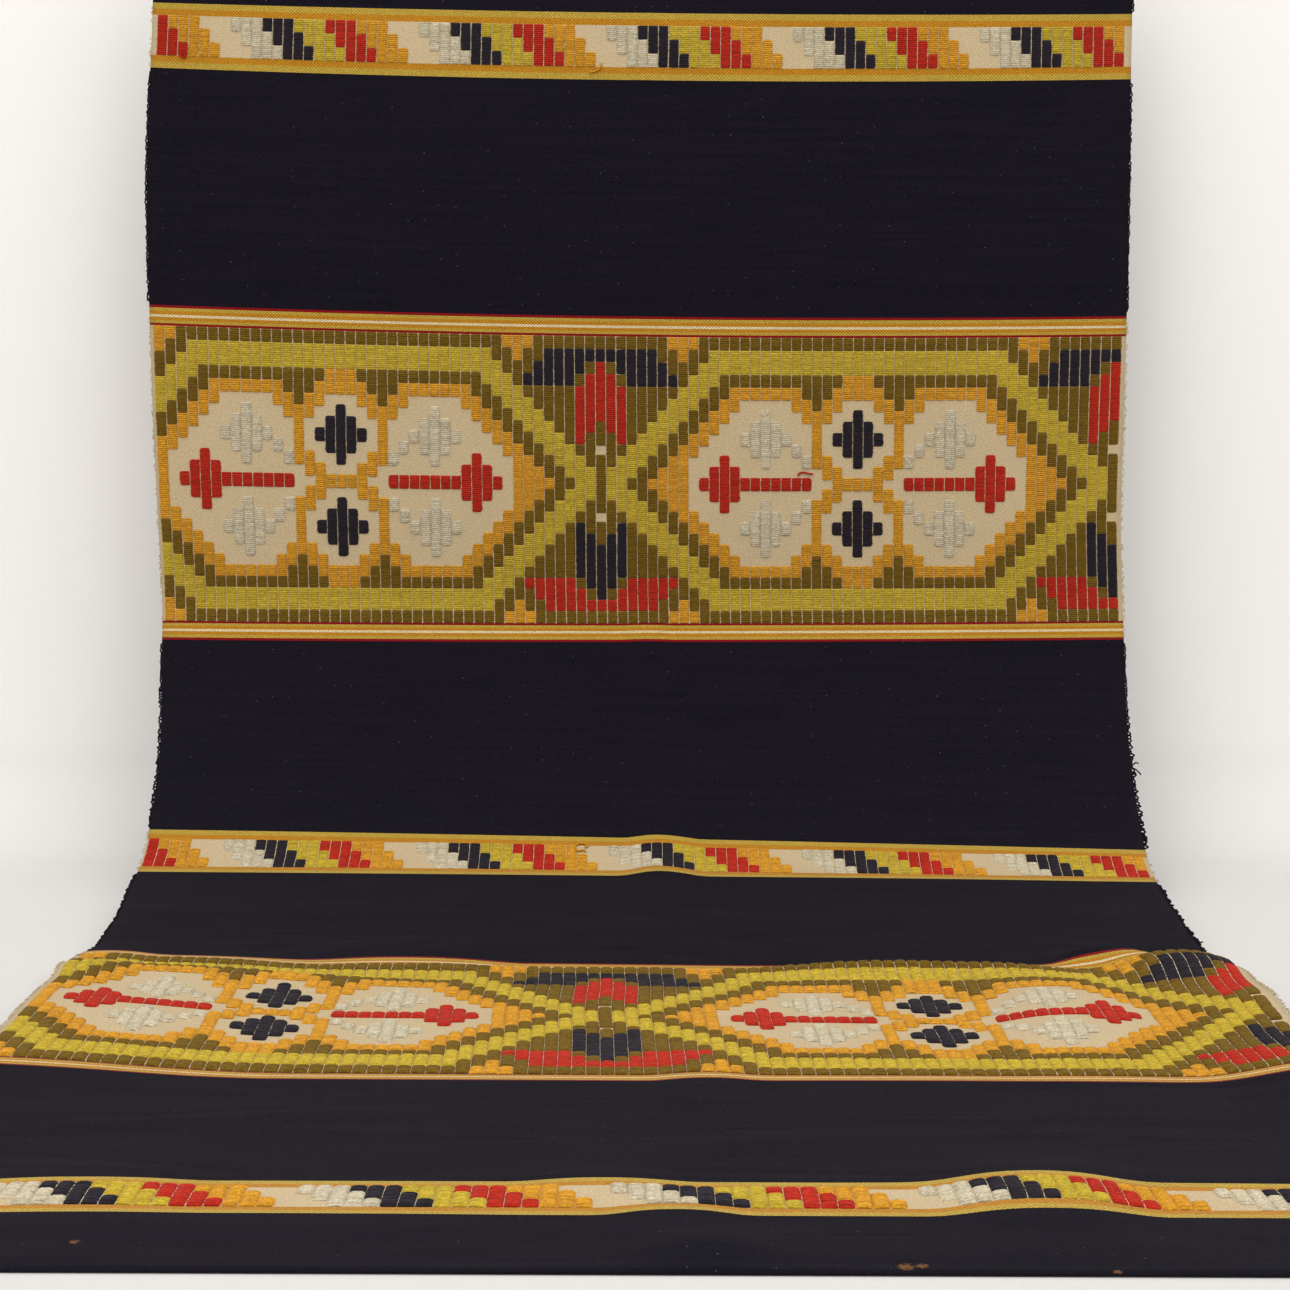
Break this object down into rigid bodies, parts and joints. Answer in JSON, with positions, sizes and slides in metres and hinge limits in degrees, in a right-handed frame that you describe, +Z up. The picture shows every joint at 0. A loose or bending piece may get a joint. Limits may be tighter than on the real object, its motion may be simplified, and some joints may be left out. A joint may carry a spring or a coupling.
{
  "type": "woven curtain",
  "caption": "Flat woven length of cloth with patterned bands, hanging straight, sweeping forward and lying on the floor.",
  "frame": {"origin": "middle of the top edge, on the back of the cloth", "axes": "+Z up, the front of the cloth faces -Y, +X to the right seen from the front"},
  "size_m": [1.0231, 1.2252, 0.9858],
  "materials": {
    "cloth": "matt woven wool"
  },
  "bodies": {
    "root": {"curtain_cloth": "cloth"}
  },
  "joints": []
}
